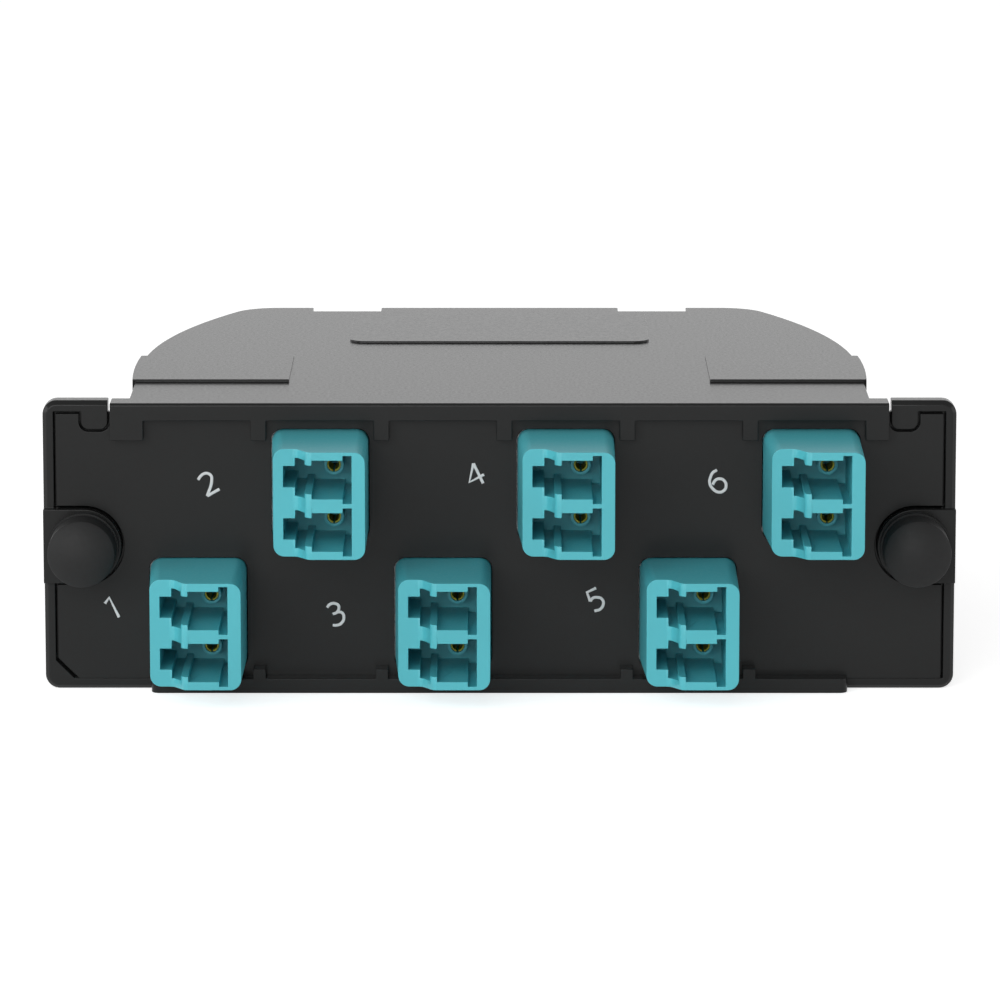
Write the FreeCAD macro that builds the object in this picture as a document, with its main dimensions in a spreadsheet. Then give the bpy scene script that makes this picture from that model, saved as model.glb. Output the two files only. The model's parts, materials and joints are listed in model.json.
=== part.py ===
"""Twelve-fibre LC cassette for a high-density patch frame, as a parametric FreeCAD document.

Millimetres, +X to the right, +Y to the rear, +Z up.
The origin lies on the underside, midway across, below the front face of the bezel.
"""
import FreeCAD, Part
import math
import os
from types import SimpleNamespace

import Sketcher

Vector = FreeCAD.Vector
Rotation = FreeCAD.Rotation
Placement = FreeCAD.Placement

SIZES = {
    # Bezel: the front of the tray
    "panel_width": 109.2,
    "panel_height": 35.1,
    "panel_depth": 2.6,
    "panel_corner": 1.7,
    "rim_width": 1.3,
    "rim_bevel": 0.5,
    "lug_inset": 4.65,
    "lug_width": 3.15,
    "lug_drop": 2.15,
    "lug_corner": 0.9,
    # Plunger bosses at the ends of the bezel
    "boss_inset": 4.85,
    "boss_radius": 4.5,
    "boss_rise": 0.8,
    # Bottom lip, in front of the bezel
    "lip_inset": 12.85,
    "lip_height": 1.75,
    "lip_reach": 2.6,
    "lip_corner": 1.0,
    "tab_width": 1.5,
    "tab_rise": 1.2,
    # Case behind the bezel
    "case_inset": 10.3,
    "case_depth": 75.7,
    "case_straight": 28.0,
    "side_radius": 103.0,
    "rear_corner": 6.0,
    "wall": 1.0,
    "floor_thickness": 1.6,
    # Cover
    "cover_thickness": 1.5,
    "comb_side_gap": 0.35,
    "comb_reach": 1.4,
    "comb_gap": 0.1,
    "comb_height": 2.1,
    "finger_drop": 2.4,
    "finger_width": 1.85,
    "wing_inner": 25.6,
    "wing_front": 14.5,
    "wing_rear": 33.2,
    "wing_overhang": 0.35,
    "wing_radius": 160.0,
    "wing_rise": 0.35,
    "pad_width": 37.9,
    "pad_front": 45.4,
    "pad_rear": 70.0,
    "pad_corner": 2.0,
    "pad_rise": 0.25,
    "notch_inner": 15.5,
    "notch_width": 8.9,
    "notch_depth": 3.1,
    "catch_drop": 0.8,
    "skirt_gap": 0.15,
    "skirt_thickness": 1.0,
    "skirt_depth": 1.4,
    # Adapter plate
    "plate_gap": 0.3,
    "plate_thickness": 1.6,
    "plate_key": 2.2,
    "window_gap": 0.1,
    # Layout of the adapters: staggered in two rows
    "first_column_inset": 18.505,
    "last_column_inset": 17.345,
    "low_row_margin": 1.35,
    "high_row_margin": 1.9,
    # LC duplex adapter, measured from its middle plane
    "adapter_middle": 0.3,
    "adapter_reach": 14.8,
    "adapter_width": 11.5,
    "adapter_height": 13.3,
    "adapter_corner": 1.3,
    "taper_left": 0.65,
    "taper_right": 0.1,
    "taper_height": 0.25,
    "face_setback": 2.3,
    "step_left": 2.45,
    "step_right": 1.05,
    "step_radius": 0.9,
    # LC port: plug cavity, side key, neck, latch slot and release notch
    "port_pitch": 6.25,
    "port_axis": 1.74,
    "cavity_width": 4.7,
    "cavity_height": 4.6,
    "key_width": 1.06,
    "key_height": 5.72,
    "neck_width": 0.83,
    "neck_height": 3.4,
    "slot_width": 1.19,
    "slot_height": 4.54,
    "release_width": 1.4,
    "release_height": 2.54,
    # Sleeve holders and sleeves
    "web": 1.0,
    "holder_radius": 1.2,
    "holder_reach": 3.4,
    "sleeve_radius": 0.81,
    "sleeve_bore": 0.64,
    "sleeve_gap": 0.03,
    "sleeve_length": 8.2,
    "sleeve_slit": 0.25,
    # Sheet clip round the rear half of each adapter
    "clip_thickness": 0.25,
    "clip_gap": 0.04,
    "clip_depth": 7.0,
    "clip_wrap": 10.4,
    "tang_length": 4.0,
    "tang_height": 4.0,
    "tang_lift": 0.7,
    # LC plugs of the inner harness
    "ferrule_radius": 0.62,
    "plug_side": 4.4,
    "plug_start": 4.7,
    "plug_length": 11.5,
    "latch_length": 8.0,
    "latch_height": 2.2,
    "latch_thickness": 0.7,
    "boot_side": 2.4,
    "boot_length": 5.0,
    # Multi-fibre adapter in the rear wall
    "mpo_width": 14.8,
    "mpo_tall": 10.0,
    "mpo_inside": 16.0,
    "mpo_outside": 8.0,
    "mpo_flange_width": 19.0,
    "mpo_flange_tall": 12.0,
    "mpo_flange_thickness": 1.4,
    "mpo_port_width": 12.6,
    "mpo_port_tall": 8.0,
    "mpo_key_width": 3.0,
    "mpo_key_rise": 0.6,
    "mpo_web": 1.2,
    "mpo_window_width": 6.8,
    "mpo_window_tall": 2.8,
    "mpo_gap": 0.1,
    # Multi-fibre plug of the inner harness
    "mpo_plug_body": 11.0,
    "mpo_boot_length": 7.0,
    "mpo_boot_width": 7.6,
    "mpo_boot_tall": 3.2,
    "mpo_boot_flare": 1.0,
    # Buffered fibres between the plugs
    "lead_radius": 0.45,
    "lead_pitch": 1.15,
    "lead_run": 9.0,
    "lead_bend": 5.0,
    # Push-pull plungers
    "grommet_radius": 3.0,
    "grommet_gap": 0.05,
    "grommet_length": 8.5,
    "grommet_flange_radius": 4.2,
    "grommet_flange": 1.0,
    "grommet_shoulder": 3.4,
    "grommet_slit": 0.8,
    "grommet_slit_length": 4.5,
    "stem_radius": 1.6,
    "stem_gap": 0.05,
    "stem_length": 8.0,
    "knob_gap": 0.05,
    "knob_radius": 4.0,
    "knob_length": 4.1,
    "knob_crown": 1.3,
}

COLUMNS = 6
ORIGIN = (0, 0, 0)
TOLERANCE = 0.01


class Size:
    """A length with the sheet expression that drives it."""

    def __init__(self, value, text):
        self.value = float(value)
        self.text = text

    def __add__(self, other):
        other = as_size(other)
        return Size(self.value + other.value, f"({self.text} + {other.text})")

    def __sub__(self, other):
        other = as_size(other)
        return Size(self.value - other.value, f"({self.text} - {other.text})")

    def __mul__(self, other):
        other = as_size(other)
        return Size(self.value * other.value, f"({self.text} * {other.text})")

    def __truediv__(self, other):
        other = as_size(other)
        return Size(self.value / other.value, f"({self.text} / {other.text})")

    def __neg__(self):
        return Size(-self.value, f"(0 - {self.text})")

    __radd__ = __add__
    __rmul__ = __mul__


def as_size(number):
    """Wrap a plain number, so that it can stand beside the sheet's sizes."""
    if isinstance(number, Size):
        return number
    return Size(number, f"({number})")


doc = FreeCAD.newDocument("fibre_cassette")
sheet = doc.addObject("Spreadsheet::Sheet", "Sizes")
for row, (alias, number) in enumerate(SIZES.items(), start=1):
    sheet.set(f"A{row}", alias)
    sheet.set(f"B{row}", str(number))
    sheet.setAlias(f"B{row}", alias)
doc.recompute()

s = SimpleNamespace(**{alias: Size(sheet.get(alias), f"Sizes.{alias}") for alias in SIZES})

# Heights and places that several pieces share
zero = as_size(0)
panel_side = s.panel_width / 2
boss_x = panel_side - s.boss_inset
panel_middle = s.panel_height / 2
plate_side = panel_side - s.rim_width - s.plate_gap
plate_top = s.panel_height - s.rim_width - s.plate_gap
cover_top = plate_top + s.cover_thickness
case_side = panel_side - s.case_inset
lip_side = panel_side - s.lip_inset
lug_outer = panel_side - s.lug_inset
lug_inner = lug_outer - s.lug_width
comb_side = lug_inner - s.comb_side_gap
lug_bottom = s.panel_height - s.rim_width - s.lug_drop
first_column = s.first_column_inset - panel_side
last_column = panel_side - s.last_column_inset
column_pitch = (last_column - first_column) / (COLUMNS - 1)
low_row = s.rim_width + s.low_row_margin + s.adapter_height / 2
high_row = plate_top - s.high_row_margin - s.adapter_height / 2


# ---------------------------------------------------------------- building helpers

def bind(thing, path, length):
    """Drive one property of a feature from the sheet."""
    thing.setExpression(path, as_size(length).text)


def place(thing, corner):
    """Drive a feature's place from the sheet."""
    for axis, length in zip("xyz", corner):
        bind(thing, f"Placement.Base.{axis}", length)


def new_body(label, corner=(0, 0, 0)):
    body = doc.addObject("PartDesign::Body", label)
    body.Label = label
    place(body, corner)
    return body


def block(body, name, low, high, cut=False):
    """A box between two corners, added to a body or cut from it."""
    kind = "PartDesign::SubtractiveBox" if cut else "PartDesign::AdditiveBox"
    box = body.newObject(kind, name)
    for path, start, end in zip(("Length", "Width", "Height"), low, high):
        bind(box, path, as_size(end) - start)
    place(box, low)
    return box


AXES = {
    "x": Rotation(Vector(0, 1, 0), 90),
    "y": Rotation(Vector(1, 0, 0), -90),
    "z": Rotation(),
}


def rod(body, name, axis, start, radius, length, cut=False):
    """A cylinder from a start point along an axis, added to a body or cut from it."""
    kind = "PartDesign::SubtractiveCylinder" if cut else "PartDesign::AdditiveCylinder"
    cylinder = body.newObject(kind, name)
    cylinder.Placement = Placement(Vector(), AXES[axis])
    place(cylinder, start)
    bind(cylinder, "Radius", radius)
    bind(cylinder, "Height", length)
    return cylinder


def new_sketch(body, name, role, level=0):
    """A sketch on one of the body's origin planes, or at a level above it."""
    plane = next(item for item in body.Origin.OriginFeatures if item.Role == role)
    sketch = body.newObject("Sketcher::SketchObject", name)
    sketch.AttachmentSupport = [(plane, "")]
    sketch.MapMode = "FlatFace"
    bind(sketch, "AttachmentOffset.Base.z", level)
    return sketch


def dimension(sketch, kind, where, length):
    """Add a driving dimension that follows the sheet."""
    length = as_size(length)
    index = sketch.addConstraint(Sketcher.Constraint(kind, *where, length.value))
    sketch.setExpression(f"Constraints[{index}]", length.text)


def pin(sketch, edge, vertex, point):
    """Hold one end of an edge at a point."""
    dimension(sketch, "DistanceX", (edge, vertex), point[0])
    dimension(sketch, "DistanceY", (edge, vertex), point[1])


def arc_between(start, end, radius):
    """An arc between two points: anticlockwise for a positive radius."""
    if radius < 0:
        start, end = end, start
    chord = end - start
    rise = math.sqrt(radius**2 - (chord.Length / 2) ** 2)
    normal = Vector(-chord.y, chord.x, 0).normalize()
    centre = (start + end) * 0.5 + normal * rise
    first = math.atan2(start.y - centre.y, start.x - centre.x)
    last = math.atan2(end.y - centre.y, end.x - centre.x)
    return Part.ArcOfCircle(Part.Circle(centre, Vector(0, 0, 1), abs(radius)), first, last)


def profile(body, name, role, corners, level=0):
    """A closed outline. A corner's third value is the radius of an arc to the next corner."""
    sketch = new_sketch(body, name, role, level)
    points = [Vector(as_size(c[0]).value, as_size(c[1]).value, 0) for c in corners]
    vertices = []
    for index, corner in enumerate(corners):
        ends = (points[index], points[(index + 1) % len(points)])
        if len(corner) == 3:
            radius = as_size(corner[2])
            sketch.addGeometry(arc_between(*ends, radius.value))
            vertices.append((1, 2) if radius.value > 0 else (2, 1))
        else:
            sketch.addGeometry(Part.LineSegment(*ends))
            vertices.append((1, 2))
    for index, corner in enumerate(corners):
        following = (index + 1) % len(corners)
        joint = (index, vertices[index][1], following, vertices[following][0])
        sketch.addConstraint(Sketcher.Constraint("Coincident", *joint))
        pin(sketch, index, vertices[index][0], corner)
        if len(corner) == 3:
            radius = as_size(corner[2])
            dimension(sketch, "Radius", (index,), radius if radius.value > 0 else -radius)
    return sketch


def rounded_rectangle(body, name, role, low, high, radius, level=0):
    """A rectangle with four round corners."""
    sketch = new_sketch(body, name, role, level)
    left, bottom = (as_size(length) for length in low)
    right, top = (as_size(length) for length in high)
    radius = as_size(radius)
    lines = [
        ((left + radius, bottom), (right - radius, bottom)),
        ((right, bottom + radius), (right, top - radius)),
        ((right - radius, top), (left + radius, top)),
        ((left, top - radius), (left, bottom + radius)),
    ]
    for start, end in lines:
        ends = (Vector(start[0].value, start[1].value, 0), Vector(end[0].value, end[1].value, 0))
        sketch.addGeometry(Part.LineSegment(*ends))
    for index, (start, end) in enumerate(lines):
        pin(sketch, index, 1, start)
        pin(sketch, index, 2, end)
    for index, (_, end) in enumerate(lines):
        start = lines[(index + 1) % 4][0]
        ends = (Vector(end[0].value, end[1].value, 0), Vector(start[0].value, start[1].value, 0))
        arc = sketch.addGeometry(arc_between(*ends, radius.value))
        sketch.addConstraint(Sketcher.Constraint("Tangent", index, 2, arc, 1))
        sketch.addConstraint(Sketcher.Constraint("Coincident", arc, 2, (index + 1) % 4, 1))
    return sketch


def pad(body, name, sketch, length, reverse=False, midplane=False):
    feature = body.newObject("PartDesign::Pad", name)
    feature.Profile = sketch
    bind(feature, "Length", length)
    feature.Reversed = reverse
    feature.Midplane = midplane
    return feature


def pocket(body, name, sketch, depth, reverse=False, midplane=False):
    """Cut a sketch into the body, against its normal unless reversed. It has to remove material."""
    doc.recompute()
    before = body.Shape.Volume
    feature = body.newObject("PartDesign::Pocket", name)
    feature.Profile = sketch
    bind(feature, "Length", depth)
    feature.Reversed = reverse
    feature.Midplane = midplane
    doc.recompute()
    if body.Shape.Volume >= before:
        raise RuntimeError(f"{name} cuts nothing from {body.Label}")
    return feature


def dress(body, kind, name, choose, length):
    """Fillet or chamfer the edges of a body that a test chooses."""
    doc.recompute()
    tip = body.Tip
    names = [f"Edge{index}" for index, edge in enumerate(tip.Shape.Edges, start=1) if choose(edge)]
    if not names:
        raise RuntimeError(f"{name} finds no edge on {body.Label}")
    feature = body.newObject(f"PartDesign::{kind}", name)
    feature.Base = (tip, names)
    bind(feature, "Radius" if kind == "Fillet" else "Size", length)
    body.Tip = feature
    return feature


def runs_along(edge, axis):
    """True for a straight edge along x, y or z."""
    if edge.Curve.TypeId != "Part::GeomLine":
        return False
    direction = edge.tangentAt(edge.FirstParameter)
    return abs(getattr(direction, axis)) > 0.999


def lies_at(edge, **places):
    """True for an edge whose middle lies at these distances from the origin planes."""
    for axis, length in places.items():
        distance = abs(getattr(edge.CenterOfMass, axis)) - abs(as_size(length).value)
        if abs(distance) > TOLERANCE:
            return False
    return True


def case_outline(body, name, inset, front, level):
    """The plan of the case: straight sides, long side arcs and rounded rear corners."""
    sketch = new_sketch(body, name, "XY_Plane", level)
    side = case_side - inset
    rear = s.case_depth - inset
    side_radius = s.side_radius - inset
    corner_radius = s.rear_corner - inset
    front = as_size(front)

    # First guess of the tangent points; the constraints below fix them
    centre_x = side.value - side_radius.value
    corner_y = rear.value - corner_radius.value
    drop = corner_y - s.case_straight.value
    corner_x = centre_x + math.sqrt((side_radius.value - corner_radius.value) ** 2 - drop**2)
    lean = math.atan2(drop, corner_x - centre_x)
    up = Vector(0, 0, 1)

    def ring(x, y, radius, first, last):
        return Part.ArcOfCircle(Part.Circle(Vector(x, y, 0), up, radius.value), first, last)

    straight = s.case_straight.value
    edges = [
        Part.LineSegment(Vector(-side.value, front.value, 0), Vector(side.value, front.value, 0)),
        Part.LineSegment(Vector(side.value, front.value, 0), Vector(side.value, straight, 0)),
        ring(centre_x, straight, side_radius, 0, lean),
        ring(corner_x, corner_y, corner_radius, lean, math.pi / 2),
        Part.LineSegment(Vector(corner_x, rear.value, 0), Vector(-corner_x, rear.value, 0)),
        ring(-corner_x, corner_y, corner_radius, math.pi / 2, math.pi - lean),
        ring(-centre_x, straight, side_radius, math.pi - lean, math.pi),
        Part.LineSegment(Vector(-side.value, straight, 0), Vector(-side.value, front.value, 0)),
    ]
    sketch.addGeometry(edges)
    sketch.addConstraint(Sketcher.Constraint("Coincident", 0, 2, 1, 1))
    sketch.addConstraint(Sketcher.Constraint("Coincident", 7, 2, 0, 1))
    for edge in range(1, 7):
        sketch.addConstraint(Sketcher.Constraint("Tangent", edge, 2, edge + 1, 1))
    pin(sketch, 0, 1, (-side, front))
    pin(sketch, 1, 1, (side, front))
    pin(sketch, 1, 2, (side, s.case_straight))
    pin(sketch, 7, 1, (-side, s.case_straight))
    for edge in (2, 6):
        dimension(sketch, "Radius", (edge,), side_radius)
    for edge in (3, 5):
        dimension(sketch, "Radius", (edge,), corner_radius)
    dimension(sketch, "DistanceY", (4, 1), rear)
    return sketch


def column_x(index):
    """The middle of a column of the adapter layout, counted from the left."""
    return first_column + column_pitch * index


def border_x(index):
    """The border on the left of a column."""
    return column_x(index) - column_pitch / 2


def row_z(index):
    """Odd ports sit in the low row, even ones in the high row."""
    return low_row if index % 2 == 0 else high_row


def port_z(port):
    """Height of a port's axis above the middle of its adapter."""
    return s.port_pitch / 2 if port == "upper" else -s.port_pitch / 2


# ---------------------------------------------------------------- case

def base_tray():
    """Bezel, floor and walls in one moulding."""
    tray = new_body("base_tray")
    block(tray, "bezel", (-panel_side, 0, 0), (panel_side, s.panel_depth, s.panel_height))
    dress(tray, "Fillet", "bezel_corners", lambda e: runs_along(e, "y"), s.panel_corner)
    dress(tray, "Chamfer", "bezel_bevel", lambda e: lies_at(e, y=0), s.rim_bevel)
    outer = case_outline(tray, "case_plan", 0, s.plate_thickness, 0)
    pad(tray, "case", outer, plate_top)
    inner = case_outline(tray, "room_plan", s.wall, -1, s.panel_height + 1)
    pocket(tray, "room", inner, s.panel_height + 1 - s.floor_thickness)
    cut_plate_seat(tray)
    for side in (-1, 1):
        add_lug(tray, side)
        add_plunger_boss(tray, side)
    add_bottom_lip(tray)
    add_rear_catches(tray)
    cut_rear_window(tray)
    return tray


def cut_plate_seat(tray):
    """The recess for the adapter plate, open at the top between the lugs."""
    seat_side = panel_side - s.rim_width
    seat_top = s.panel_height - s.rim_width
    key = s.plate_key
    corners = [
        (-seat_side + key, s.rim_width),
        (seat_side, s.rim_width),
        (seat_side, seat_top),
        (-seat_side, seat_top),
        (-seat_side, s.rim_width + key),
    ]
    seat = profile(tray, "seat_outline", "XZ_Plane", corners)
    pocket(tray, "plate_seat", seat, s.plate_thickness)
    low = (-lug_inner, -1, plate_top)
    high = (lug_inner, s.panel_depth + 1, s.panel_height + 1)
    block(tray, "cover_gap", low, high, cut=True)


def add_lug(tray, side):
    """A lug that hangs from the rim and holds the plate's top corner."""
    ends = sorted((side * lug_inner, side * lug_outer), key=lambda length: length.value)
    radius = s.lug_corner
    top = s.panel_height - s.rim_width
    corners = [
        (ends[0] + radius, lug_bottom),
        (ends[1] - radius, lug_bottom, radius),
        (ends[1], lug_bottom + radius),
        (ends[1], top),
        (ends[0], top),
        (ends[0], lug_bottom + radius, radius),
    ]
    outline = profile(tray, f"lug_outline_{side + 1}", "XZ_Plane", corners)
    pad(tray, f"lug_{side + 1}", outline, s.plate_thickness, reverse=True)


def add_plunger_boss(tray, side):
    """A raised boss round the plunger, carried out to the bezel's end."""
    depth = s.boss_rise + s.plate_thickness
    centre = (side * boss_x, -s.boss_rise, panel_middle)
    rod(tray, f"boss_{side + 1}", "y", centre, s.boss_radius, depth)
    ends = sorted((side * boss_x, side * panel_side), key=lambda length: length.value)
    low = (ends[0], -s.boss_rise, panel_middle - s.boss_radius)
    high = (ends[1], s.plate_thickness, panel_middle + s.boss_radius)
    block(tray, f"boss_bridge_{side + 1}", low, high)
    bore = s.grommet_shoulder + s.grommet_gap
    start = (side * boss_x, -s.boss_rise - 1, panel_middle)
    rod(tray, f"boss_bore_{side + 1}", "y", start, bore, depth + s.panel_depth + 2, cut=True)


def add_bottom_lip(tray):
    """The lip in front of the plate's lower edge, with a tab at four column borders."""
    side = lip_side
    corner = s.lip_corner
    corners = [
        (-side + corner, -s.lip_reach),
        (side - corner, -s.lip_reach, corner),
        (side, -s.lip_reach + corner),
        (side, 0),
        (-side, 0),
        (-side, -s.lip_reach + corner, corner),
    ]
    outline = profile(tray, "lip_outline", "XY_Plane", corners)
    pad(tray, "bottom_lip", outline, s.lip_height)
    block(tray, "lip_root", (-side, 0, 0), (side, s.rim_bevel, s.rim_width))
    for index in (1, 2, 4, 5):
        low = (border_x(index) - s.tab_width / 2, -s.lip_reach, s.lip_height)
        high = (border_x(index) + s.tab_width / 2, 0, s.lip_height + s.tab_rise)
        block(tray, f"lip_tab_{index}", low, high)


def add_rear_catches(tray):
    """Catches that stand on the rear wall, in the cover's notches."""
    for side in (-1, 1):
        middle = side * (s.notch_inner + s.notch_width / 2)
        half = s.notch_width / 2 - s.skirt_gap
        low = (middle - half, s.case_depth - s.wall, plate_top)
        high = (middle + half, s.case_depth, cover_top - s.catch_drop)
        block(tray, f"catch_{side + 1}", low, high)


def cut_rear_window(tray):
    """The window that the multi-fibre adapter sits in."""
    half_width = s.mpo_width / 2 + s.mpo_gap
    half_tall = s.mpo_tall / 2 + s.mpo_gap
    low = (-half_width, s.case_depth - s.wall - 1, panel_middle - half_tall)
    high = (half_width, s.case_depth + 1, panel_middle + half_tall)
    block(tray, "rear_window", low, high, cut=True)


def top_cover():
    """D-shaped lid with its comb, wings, pad and skirt."""
    cover = new_body("top_cover")
    outline = case_outline(cover, "lid_plan", 0, s.panel_depth, plate_top)
    pad(cover, "lid", outline, s.cover_thickness)
    low = (-comb_side, -s.comb_reach, plate_top)
    high = (comb_side, s.panel_depth, cover_top)
    block(cover, "front_edge", low, high)
    add_comb(cover)
    for side in (-1, 1):
        cut_rear_notch(cover, side)
    dress(cover, "Chamfer", "front_bevel", is_front_top_edge, s.rim_bevel / 2)
    for side in (-1, 1):
        add_wing(cover, side)
    half = s.pad_width / 2
    corners = ((-half, s.pad_front), (half, s.pad_rear))
    raised = rounded_rectangle(cover, "pad_outline", "XY_Plane", *corners, s.pad_corner, cover_top)
    pad(cover, "raised_pad", raised, s.pad_rise)
    add_skirt(cover)
    return cover


def is_front_top_edge(edge):
    """The cover's long top edge above the comb."""
    return runs_along(edge, "x") and lies_at(edge, y=s.comb_reach, z=cover_top)


def add_comb(cover):
    """The bar and fingers that hang in front of the plate's upper edge."""
    bar_bottom = cover_top - s.comb_height
    finger_bottom = bar_bottom - s.finger_drop
    rear = -s.comb_gap
    block(cover, "comb_bar", (-comb_side, -s.comb_reach, bar_bottom), (comb_side, rear, plate_top))
    ends = [-comb_side]
    for index in range(COLUMNS + 1):
        ends += [border_x(index) - s.finger_width / 2, border_x(index) + s.finger_width / 2]
    ends.append(comb_side)
    fingers = [(ends[0], ends[2])]
    fingers += [(ends[2 * index + 1], ends[2 * index + 2]) for index in range(1, COLUMNS)]
    fingers.append((ends[-3], ends[-1]))
    for number, (left, right) in enumerate(fingers, start=1):
        low = (left, -s.comb_reach, finger_bottom)
        block(cover, f"finger_{number}", low, (right, rear, bar_bottom))


def cut_rear_notch(cover, side):
    """A notch in the rear edge for one of the tray's catches."""
    middle = side * (s.notch_inner + s.notch_width / 2)
    low = (middle - s.notch_width / 2, s.case_depth - s.notch_depth, plate_top - 1)
    high = (middle + s.notch_width / 2, s.case_depth + 1, cover_top + 1)
    block(cover, f"notch_{side + 1}", low, high, cut=True)


def add_wing(cover, side):
    """A raised side wing that stands a little over the case's side."""
    outer = case_side + s.wing_overhang
    corners = [
        (s.wing_inner, s.wing_front),
        (outer, s.wing_front, s.wing_radius),
        (outer, s.wing_rear),
        (s.wing_inner, s.wing_rear),
    ]
    if side < 0:
        corners = [
            (-s.wing_inner, s.wing_front),
            (-s.wing_inner, s.wing_rear),
            (-outer, s.wing_rear, s.wing_radius),
            (-outer, s.wing_front),
        ]
    outline = profile(cover, f"wing_outline_{side + 1}", "XY_Plane", corners, plate_top)
    pad(cover, f"wing_{side + 1}", outline, s.cover_thickness + s.wing_rise)


def add_skirt(cover):
    """A low skirt that locates the lid inside the tray's walls."""
    outer_inset = s.wall + s.skirt_gap
    outer = case_outline(cover, "skirt_plan", outer_inset, s.panel_depth, plate_top)
    pad(cover, "skirt", outer, s.skirt_depth, reverse=True)
    inner_inset = outer_inset + s.skirt_thickness
    inner = case_outline(cover, "skirt_room_plan", inner_inset, 0, plate_top)
    pocket(cover, "skirt_room", inner, s.skirt_depth)


def adapter_plate():
    """The flat plate that carries the adapters, keyed at its lower left corner."""
    plate = new_body("adapter_plate")
    low = (-plate_side, 0, s.rim_width)
    block(plate, "sheet", low, (plate_side, s.plate_thickness, plate_top))
    dress(plate, "Chamfer", "key_corner", is_key_corner, s.plate_key + s.plate_gap)
    for side in (-1, 1):
        cut_lug_notch(plate, side)
        cut_boss_notch(plate, side)
    for index in range(COLUMNS):
        half_width = s.adapter_width / 2 + s.window_gap
        half_height = s.adapter_height / 2 + s.window_gap
        low = (column_x(index) - half_width, row_z(index) - half_height)
        high = (column_x(index) + half_width, row_z(index) + half_height)
        radius = s.adapter_corner + s.window_gap
        window = rounded_rectangle(plate, f"window_outline_{index + 1}", "XZ_Plane", low, high, radius)
        pocket(plate, f"window_{index + 1}", window, s.plate_thickness)
    return plate


def is_key_corner(edge):
    """The plate's lower left corner, seen from the front."""
    on_left = edge.CenterOfMass.x < 0
    return on_left and runs_along(edge, "y") and lies_at(edge, x=plate_side, z=s.rim_width)


def cut_lug_notch(plate, side):
    """Room for a lug of the bezel, with round lower corners."""
    ends = sorted((side * lug_inner, side * lug_outer), key=lambda length: length.value)
    left = ends[0] - s.plate_gap
    right = ends[1] + s.plate_gap
    bottom = lug_bottom - s.plate_gap
    radius = s.lug_corner + s.plate_gap
    corners = [
        (left + radius, bottom),
        (right - radius, bottom, radius),
        (right, bottom + radius),
        (right, plate_top + 1),
        (left, plate_top + 1),
        (left, bottom + radius, radius),
    ]
    outline = profile(plate, f"lug_notch_outline_{side + 1}", "XZ_Plane", corners)
    pocket(plate, f"lug_notch_{side + 1}", outline, s.plate_thickness)


def cut_boss_notch(plate, side):
    """Room for a plunger boss."""
    radius = s.boss_radius + s.plate_gap
    start = (side * boss_x, -1, panel_middle)
    rod(plate, f"boss_notch_{side + 1}", "y", start, radius, s.plate_thickness + 2, cut=True)
    ends = sorted((side * boss_x, side * panel_side), key=lambda length: length.value)
    low = (ends[0], -1, panel_middle - radius)
    high = (ends[1], s.plate_thickness + 1, panel_middle + radius)
    block(plate, f"boss_slot_{side + 1}", low, high, cut=True)


# ---------------------------------------------------------------- adapters

def port_outline(body, name, port, level):
    """The keyed outline of one LC port, from the release notch on the left to the side key."""
    middle = port_z(port)
    cavity_right = s.port_axis + s.cavity_width / 2
    cavity_left = cavity_right - s.cavity_width
    widths = [s.release_width, s.slot_width, s.neck_width, s.cavity_width - s.key_width, s.key_width]
    heights = [s.release_height, s.slot_height, s.neck_height, s.cavity_height, s.key_height]
    borders = [cavity_left - s.neck_width - s.slot_width - s.release_width]
    for width in widths:
        borders.append(borders[-1] + width)
    lower = []
    upper = []
    for index, height in enumerate(heights):
        lower += [(borders[index], middle - height / 2), (borders[index + 1], middle - height / 2)]
        upper += [(borders[index], middle + height / 2), (borders[index + 1], middle + height / 2)]
    return profile(body, name, "XZ_Plane", lower + upper[::-1], level)


def cut_front_port(half, port):
    """A port from the front, with a round holder for the sleeve standing on the web."""
    outline = port_outline(half, f"{port}_outline", port, s.adapter_reach)
    pocket(half, f"{port}_port", outline, s.adapter_reach - s.web)
    reach = s.web + s.holder_reach
    start = (s.port_axis, -reach, port_z(port))
    rod(half, f"{port}_holder", "y", start, s.holder_radius, reach)
    start = (s.port_axis, -reach - 1, port_z(port))
    rod(half, f"{port}_bore", "y", start, s.sleeve_radius + s.sleeve_gap, reach + 2, cut=True)


def cut_rear_port(half, port):
    """A port from the rear, with a plain square holder for the sleeve."""
    outline = port_outline(half, f"{port}_outline", port, -s.adapter_reach)
    pocket(half, f"{port}_port", outline, s.adapter_reach - s.web, reverse=True)
    square_tube = (("holder", s.holder_radius, 0), ("bore", s.sleeve_radius + s.sleeve_gap, 1))
    for name, half_side, spare in square_tube:
        low = (s.port_axis - half_side, -spare, port_z(port) - half_side)
        end = s.web + s.holder_reach + spare
        high = (s.port_axis + half_side, end, port_z(port) + half_side)
        block(half, f"{port}_{name}", low, high, cut=name == "bore")


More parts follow.
